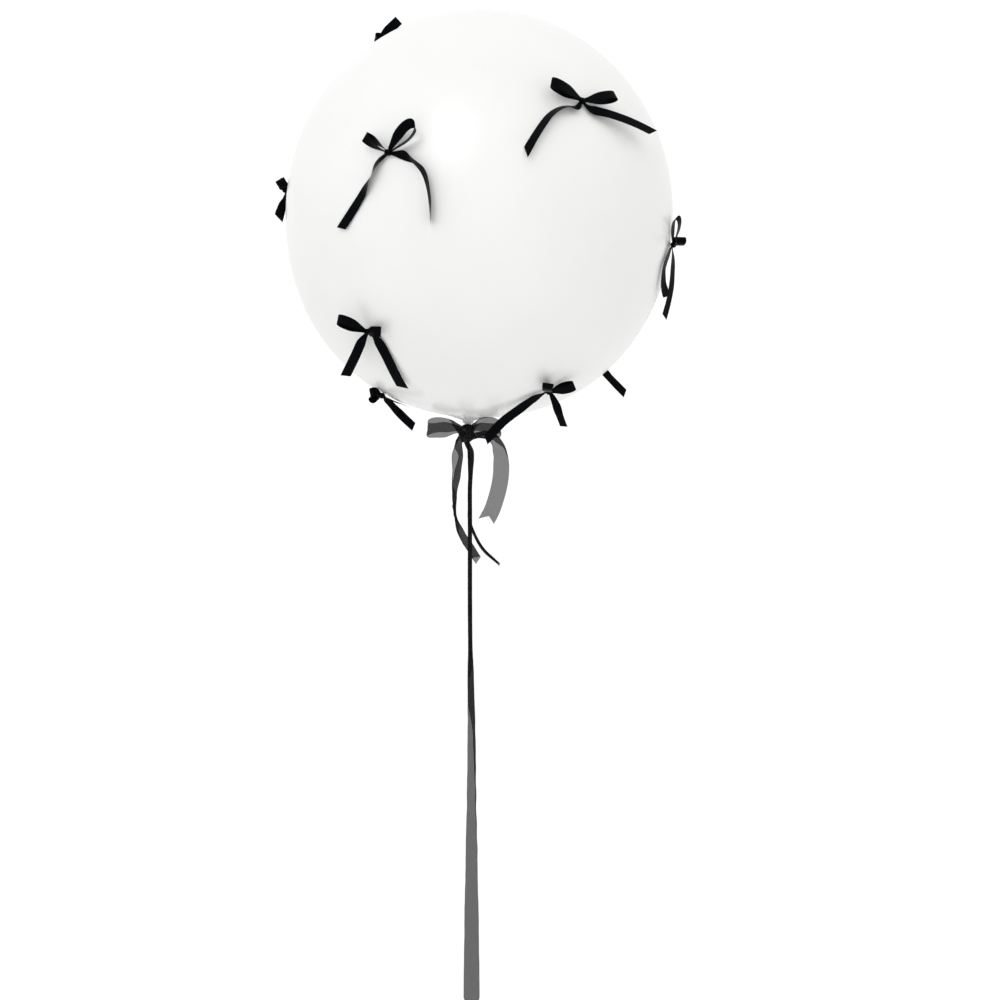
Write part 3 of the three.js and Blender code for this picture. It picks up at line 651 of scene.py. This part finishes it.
def turned_form(name, profile, columns, material, ripple=0.0, ripples=9, twist=0.0, place=(0, 0, 0),
                pitch=0.0):
    """A form turned round an upright axis from (radius, level) pairs, with ripples round it."""
    vertices = []
    for radius, level in profile:
        for j in range(columns):
            around = 2 * math.pi * j / columns
            r = radius * (1 + ripple * math.cos(ripples * (around + twist * level)))
            p = np.array([r * math.cos(around), r * math.sin(around), level])
            vertices.append(about(p, np.array([1.0, 0, 0]), pitch) + np.array(place))
    return make_mesh(name, vertices, grid_faces(len(profile), columns, closed=True), material)


def rounded(profile, steps=6):
    """A smooth profile through the (radius, level) pairs."""
    points = [np.array([r, z, 0.0]) for r, z in profile]
    count = (len(points) - 1) * steps
    return [tuple(curve_point(points, i / count)[:2]) for i in range(count + 1)]


neck = turned_form("neck_twist", rounded([(0.05, -24), (4.6, -23.4), (7.4, -19), (7.2, -14.5), (5.4, -10.5),
                                          (4.9, -6), (4.9, 0), (6.6, 4), (8.3, 9), (8.2, 11), (0.05, 11.2)]),
                   48, LATEX_NECK, ripple=0.07, ripples=6, twist=0.16)
lip = turned_form("mouth_rolled_lip", rounded([(0.05, 0.2), (3, 0.3), (5.6, 5.5), (6.6, 9.5), (8.0, 9.1),
                                               (9.4, 10.4), (8.6, 12), (6.6, 11.6), (5.4, 10.2),
                                               (4.6, 5.6), (0.05, 1.4)]),
                  56, LATEX_NECK, ripple=0.05, ripples=7, place=(0, 7.8, NECK_KNOT_LEVEL),
                  pitch=math.radians(-115))
for piece, node in ((neck, "neck_knot"), (lip, "rolled_lip")):
    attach(piece, "balloon")
    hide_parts(node)


# ---------------------------------------------------------------- satin bows

def bow_seat(at):
    """Origin and axes (right, up, out) of a bow's knot on the upright balloon."""
    around, up = (math.radians(a) for a in at)
    out = np.array([math.cos(up) * math.sin(around), -math.cos(up) * math.cos(around), math.sin(up)])
    origin = over_balloon(out + BALLOON_CENTRE, GLUE_DOT_THICKNESS + 2 * CLEARANCE + SATIN_KNOT_RADIUS)
    right = unit(np.cross(UP, out))
    return origin, right, np.cross(out, right), out


def seat_place(seat, point):
    """A point given along a bow's own axes, on the upright balloon."""
    origin, right, up, out = seat
    return origin + right * point[0] + up * point[1] + out * point[2]


def seat_direction(seat, vector):
    """A direction given along a bow's own axes, in the part's frame."""
    _, right, up, out = seat
    return leaned(right * vector[0] + up * vector[1] + out * vector[2])


def satin_loop_grid(seat, loop, steps=56):
    places, facings, widths, turns = loop_line(
        loop["reach"], loop["open"], SATIN_LOOP_START, SATIN_WIDTH, SATIN_PINCH, steps, loop.get("twist", 0),
        loop.get("lean", (0, 0)))

    def seated(v):
        v = about(v, np.array([1.0, 0, 0]), math.radians(loop["tilt"]))
        v = about(v, np.array([0, 1.0, 0]), -math.radians(loop["pitch"]))
        return about(v, UP, math.radians(loop["aim"]))

    spots = [leaned(seat_place(seat, seated(p))) for p in places]
    faces = [seat_direction(seat, seated(f)) for f in facings]
    return ribbon_grid(spots, faces, widths, turns, SATIN_WIDTH, SATIN_COLUMNS, SATIN_GAP,
                       seed=loop["aim"] * 0.1)


def satin_tail_grid(seat, tail, cut, per_point=12):
    """A tail from the knot through its points, kept clear of the skin under it."""
    heading = math.atan2(tail[0][1], tail[0][0])
    leave = SATIN_KNOT_LENGTH - SATIN_TAIL_INSET
    root = (leave * math.cos(heading), leave * math.sin(heading), SATIN_THICKNESS + SATIN_KNOT_RADIUS, 0)
    keys = [root] + list(tail)
    path = [np.array(k[:3], float) for k in keys]
    steps = len(tail) * per_point
    places, facings, widths, turns = [], [], [], []
    for i in range(steps + 1):
        t = i / steps
        turn = along([k[3] for k in keys], t)
        x, y, z = curve_point(path, t)
        reach = math.sqrt(x * x + y * y + z * z)
        spread = float(smooth((reach - SATIN_KNOT_LENGTH) / (SATIN_SPREAD - SATIN_KNOT_LENGTH)))
        width = SATIN_WIDTH * (SATIN_PINCH + (1 - SATIN_PINCH) * spread)
        lowest = SATIN_THICKNESS + CLEARANCE + width / 2 * abs(math.sin(math.radians(turn)))
        point = over_balloon(seat_place(seat, (x, y, 0)), max(z, lowest))
        places.append(leaned(point))
        facings.append(leaned(unit(point - BALLOON_CENTRE)))
        widths.append(width)
        turns.append(turn)
    return ribbon_grid(places, facings, widths, turns, SATIN_WIDTH, SATIN_COLUMNS, SATIN_GAP, cut=cut,
                       seed=heading)


def satin_knot(name, seat):
    """The knot: a short band of ribbon wrapped across, bulging in its middle, with pleats along it."""
    rows, columns = 20, 32
    vertices, uvs = [], []
    for i in range(rows + 1):
        t = i / rows * 2 - 1
        end = math.sqrt(max(1 - abs(t) ** SATIN_KNOT_SQUARENESS, 0))
        for j in range(columns):
            around = 2 * math.pi * j / columns
            pleat = (1 + SATIN_KNOT_PLEAT * math.cos(5 * math.pi * t)
                     + SATIN_KNOT_PLEAT * math.cos(3 * around + 2 * t))
            r = SATIN_KNOT_RADIUS * end * pleat * SATIN_KNOT_SHRINK
            spot = (SATIN_KNOT_LENGTH * t, r * math.cos(around) * SATIN_KNOT_WIDEN, r * math.sin(around))
            vertices.append(leaned(seat_place(seat, spot)))
            uvs.append(((t + 1) / 2 * SATIN_WIDTH * MM, j * 0.7 * MM))
    return make_mesh(name, vertices, grid_faces(rows + 1, columns, closed=True), SATIN, uvs)


def glue_dot(name, seat):
    """A clear glue dot, domed and squeezed out a little at its edge."""
    rings, columns = 8, 28
    vertices = []
    middle = -SATIN_KNOT_RADIUS - CLEARANCE - GLUE_DOT_THICKNESS / 2
    for i in range(rings + 1):
        polar = math.pi * i / rings
        for j in range(columns):
            around = 2 * math.pi * j / columns
            r = GLUE_DOT_RADIUS * math.sin(polar) ** 0.4 * (1 + 0.03 * math.cos(3 * around))
            level = middle + 0.5 * GLUE_DOT_THICKNESS * math.cos(polar)
            spot = (r * math.cos(around), r * math.sin(around), level)
            vertices.append(leaned(seat_place(seat, spot)))
    return make_mesh(name, vertices, grid_faces(rings + 1, columns, closed=True), GLUE)


for bow_name, at, loops, tails, cuts in SATIN_BOWS:
    seat = bow_seat(at)
    knot = satin_knot(bow_name + "_knot", seat)
    loops_cloth, loops_length = ribbon_piece(
        bow_name + "_loop_ribbon", [satin_loop_grid(seat, loop) for loop in loops], SATIN_COLUMNS, SATIN,
        SATIN_THICKNESS)
    dot = glue_dot(bow_name + "_glue", seat)
    for piece, slot_name in ((knot, "satin"), (loops_cloth, "satin"), (dot, "glue")):
        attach(piece, "balloon")
    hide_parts(bow_name + "_loops")
    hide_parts(bow_name + "_glue_dot")
    for side, tail, cut in zip(("left", "right"), tails, cuts):
        body = bow_name + "_" + side + "_tail"
        cloth, length = ribbon_piece(body + "_ribbon", [satin_tail_grid(seat, tail, cut)], SATIN_COLUMNS,
                                     SATIN, SATIN_THICKNESS)
        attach(cloth, body)
        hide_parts(body)


# ---------------------------------------------------------------- organza bow at the neck

def neck_loop(spec):
    """One loop of the neck bow, which starts 4 mm from the knot's middle."""
    start = math.asin(4 / spec["reach"])
    places, facings, widths, turns = loop_line(spec["reach"], spec["open"], start, ORGANZA_WIDTH,
                                               NECK_LOOP_PINCH, ORGANZA_LOOP_STEPS)

    def seated(v):
        v = np.array([v[0] * spec["side"], v[1] * spec["side"], v[2]])
        v = about(v, np.array([1.0, 0, 0]), math.radians(spec["tilt"]))
        return about(v, np.array([0, 1.0, 0]), spec["side"] * math.radians(spec["droop"]))

    spots = [seated(p) + NECK_BOW_KNOT for p in places]
    for spot, place in zip(spots, places):
        spot[2] += NECK_LOOP_RISE + NECK_LOOP_ARCH * math.sin(math.pi * place[0] / spec["reach"])
    faces = [seated(f) for f in facings]
    grid = ribbon_grid(spots, faces, widths, turns, ORGANZA_WIDTH, ORGANZA_COLUMNS, ORGANZA_LOOP_GAP,
                       crumple=3.4, seed=spec["reach"])
    cloth, length = ribbon_piece(spec["name"] + "_cloth", [grid], ORGANZA_COLUMNS, ORGANZA)
    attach(cloth, "balloon")
    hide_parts(spec["name"])


for spec in NECK_BOW_LOOPS:
    neck_loop(spec)

neck_knot_cloth = organza_knot("neck_bow_knot_cloth", NECK_BOW_KNOT + NECK_KNOT_SHIFT, NECK_KNOT_SIZE,
                               ORGANZA_DENSE, 5.0)
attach(neck_knot_cloth, "balloon")
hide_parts("neck_bow_knot")

hitch = turned_form("neck_hitch_cloth", rounded([(5.3, -6.4), (5.25, -4.2), (5.3, -1.6), (6.6, -0.9),
                                                 (8.2, -2.4), (8.3, -4.4), (7.4, -6.9), (6.1, -7.3),
                                                 (5.3, -6.4)]),
                    64, ORGANZA_DENSE, ripple=0.035, ripples=11, twist=0.5)
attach(hitch, "balloon")
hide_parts("neck_hitch")

for name, spec, shape in (
    ("neck_bow_left_tail", NECK_BOW_LEFT_TAIL,
     dict(cut=0.45, crumple=2.0, seed=1.5, extra=[(-4, -15, -13), (-9, -12, -20)])),
    ("neck_bow_right_tail", NECK_BOW_RIGHT_TAIL,
     dict(cut=-0.18, notch=0.8, crumple=2.0, seed=6.5, extra=[(0, -13, -16), (8, -4, -20)])),
    ("tether_short_end", TETHER_SHORT_END,
     dict(cut=0.6, crumple=0.6, seed=4.5, extra=[(-2, -15, -16), (0, -13, -22)])),
):
    body = "hanging_ends" if name == "tether_short_end" else name
    material = ORGANZA_DENSE if name == "tether_short_end" else ORGANZA
    grid, _ = hanging(spec, ORGANZA_TAIL_STEPS, ORGANZA_TAIL_GAP, ORGANZA_COLUMNS, **shape)
    cloth, length = ribbon_piece(name + "_cloth", [grid], ORGANZA_COLUMNS, material)
    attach(cloth, body)
    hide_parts(name)


# ---------------------------------------------------------------- floor, light

def floor():
    """A wide white floor below the tether's end."""
    mesh = bpy.data.meshes.new("floor")
    corners = [(-1, -1), (1, -1), (1, 1), (-1, 1)]
    vertices = [(FLOOR_REACH * x, FLOOR_REACH * y, FLOOR_LEVEL) for x, y in corners]
    mesh.from_pydata(vertices, [], [(0, 1, 2, 3)])
    obj = bpy.data.objects.new("floor", mesh)
    bpy.context.scene.collection.objects.link(obj)
    material, nodes, links, shader = new_material("floor_white")
    grain = add_node(nodes, "ShaderNodeTexNoise", Scale=1.5)
    tone = add_ramp(nodes, links, grain.outputs["Fac"],
                    [(0.3, (0.93, 0.93, 0.93, 1)), (0.7, (0.95, 0.95, 0.95, 1))])
    links.new(tone, shader.inputs["Base Color"])
    shader.inputs["Roughness"].default_value = 0.9
    mesh.materials.append(material)


def soft_light(name, place, target, size, power, colour):
    data = bpy.data.lights.new(name, "AREA")
    data.shape = "DISK"
    data.size = size
    data.energy = power
    data.color = colour
    lamp = bpy.data.objects.new(name, data)
    lamp.location = place
    lamp.rotation_euler = (Vector(target) - Vector(place)).to_track_quat("-Z", "Y").to_euler()
    bpy.context.scene.collection.objects.link(lamp)


floor()
world = bpy.data.worlds.new("studio")
world.use_nodes = True
world.node_tree.nodes["Background"].inputs["Color"].default_value = (1, 1, 1, 1)
world.node_tree.nodes["Background"].inputs["Strength"].default_value = ROOM_BRIGHTNESS
bpy.context.scene.world = world
soft_light("key", KEY_PLACE, KEY_TARGET, KEY_SIZE, KEY_POWER, KEY_COLOUR)
bpy.context.scene.view_settings.view_transform = "Standard"
